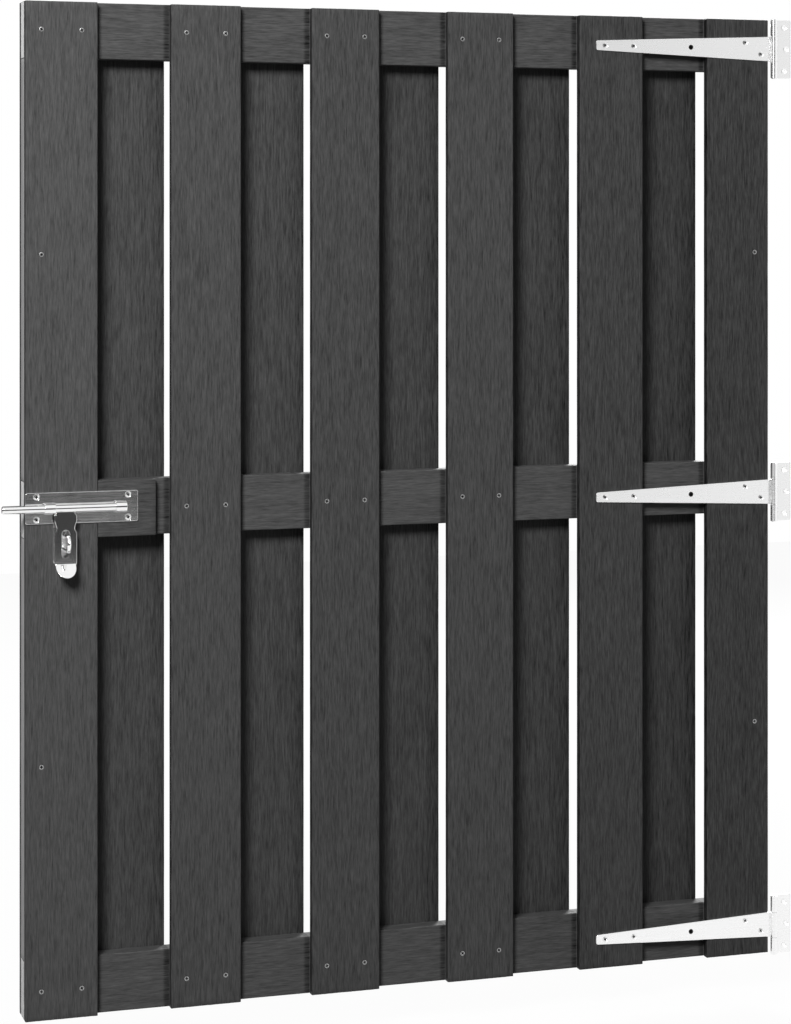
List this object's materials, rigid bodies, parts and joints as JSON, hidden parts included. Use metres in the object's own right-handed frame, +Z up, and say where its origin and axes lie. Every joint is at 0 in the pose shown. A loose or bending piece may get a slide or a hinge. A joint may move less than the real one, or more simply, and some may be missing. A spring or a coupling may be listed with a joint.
{
  "type": "garden gate",
  "caption": "Slatted garden gate leaf with staggered front and rear boards on rails, hung on T-hinges and shut by a sliding padlock bolt.",
  "frame": {"origin": "on the back face of the middle post plate, at its centre hole", "axes": "+X to the right as seen from the front, +Y from front to rear, +Z up"},
  "size_m": [1.062, 0.073, 1.2526],
  "materials": {
    "front_boards": "stained, brushed grain",
    "rails": "stained, with paler cut ends",
    "rear_boards": "stained, brushed grain",
    "hinge_metal": "bright zinc",
    "bolt_metal": "bright zinc",
    "screws": "zinc"
  },
  "bodies": {
    "post_hinges": {"hinge_pin_bottom": "hinge_metal", "hinge_pin_middle": "hinge_metal", "hinge_pin_top": "hinge_metal", "post_plate_bottom": "hinge_metal", "post_plate_middle": "hinge_metal", "post_plate_top": "hinge_metal"},
    "leaf": {"bolt_base_plate": "bolt_metal", "bolt_guide_left": "bolt_metal", "bolt_guide_right": "bolt_metal", "bolt_screws": "screws", "bolt_staple": "bolt_metal", "bottom_rail": "rails", "edge_board_screws": "screws", "front_slat_1": "front_boards", "front_slat_2": "front_boards", "front_slat_3": "front_boards", "front_slat_4": "front_boards", "front_slat_5": "front_boards", "front_slat_6": "front_boards", "hinge_strap_bottom": "hinge_metal", "hinge_strap_middle": "hinge_metal", "hinge_strap_top": "hinge_metal", "left_stile_lower": "rails", "left_stile_upper": "rails", "lock_block": "front_boards", "middle_rail": "rails", "rear_edge_board_left": "rear_boards", "rear_edge_board_right": "rear_boards", "rear_slat_1": "rear_boards", "rear_slat_2": "rear_boards", "rear_slat_3": "rear_boards", "rear_slat_4": "rear_boards", "rear_slat_5": "rear_boards", "rear_slat_screws": "screws", "right_stile_lower": "rails", "right_stile_upper": "rails", "slat_screws": "screws", "stile_screws": "screws", "strap_screws_bottom": "screws", "strap_screws_middle": "screws", "strap_screws_top": "screws", "top_rail": "rails"},
    "rod": {"bolt_rod": "bolt_metal"},
    "hasp": {"bolt_hasp": "bolt_metal"}
  },
  "joints": [
    {"name": "gate_swing", "type": "hinge", "parent": "post_hinges", "child": "leaf", "pos_m": [-0.019, -0.0045, 0], "axis": [0, 0, 1], "range_deg": [0, 170]},
    {"name": "bolt_slide", "type": "slide", "parent": "leaf", "child": "rod", "axis": [1, 0, 0], "range_m": [0, 0.03]},
    {"name": "hasp_lift", "type": "hinge", "parent": "rod", "child": "hasp", "pos_m": [-0.9773, -0.009, 0.01], "axis": [-1, 0, 0], "range_deg": [0, 170]}
  ],
  "couplings": [
    {"joint": "bolt_slide", "follows": "hasp_lift", "m_per_rad": 0.01}
  ]
}
